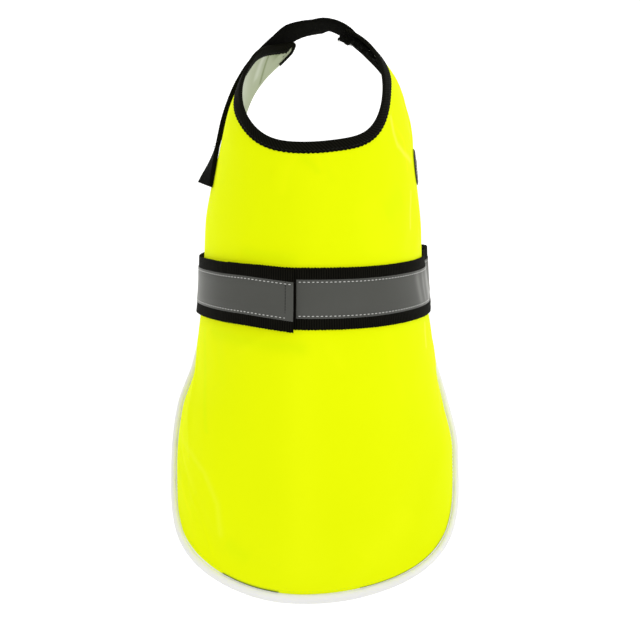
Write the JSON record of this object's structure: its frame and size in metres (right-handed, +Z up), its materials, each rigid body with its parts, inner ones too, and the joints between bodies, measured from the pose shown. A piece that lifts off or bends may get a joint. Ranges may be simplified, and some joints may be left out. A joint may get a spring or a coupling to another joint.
{
  "type": "light-up dog coat",
  "caption": "Hi-vis dog coat held in its worn, hollow form, with a milky light tube round the hem, a grey reflective belt over the back and a black neck strap.",
  "frame": {"origin": "underside of the lining at the spine, in the middle of the belt, where the coat rests on the wearer's back", "axes": "+Y towards the wearer's head along the back, +X towards the wearer's right side, +Z up away from the back"},
  "size_m": [0.2112, 0.4112, 0.1707],
  "materials": {
    "yellow_cloth": "fluorescent plain-weave polyester",
    "pale_lining": "off-white smooth lining",
    "black_binding": "black diagonal-twill tape",
    "milky_tube": "milky translucent light tube, unlit",
    "black_webbing": "black ribbed webbing",
    "grey_reflective": "grey retro-reflective tape",
    "black_hook_and_loop": "fuzzy hook-and-loop tape",
    "black_rubber": "satin moulded patch"
  },
  "bodies": {
    "root": {"coat_panel": "yellow_cloth", "lining": "pale_lining", "neck_binding": "black_binding", "hem_light_trim": "milky_tube", "belt_webbing": "black_webbing", "belt_reflective_tape": "grey_reflective", "belt_hook_strip": "black_hook_and_loop", "neck_strap": "black_hook_and_loop", "wing_hook_tape": "black_hook_and_loop", "side_patch": "black_rubber"}
  },
  "joints": []
}
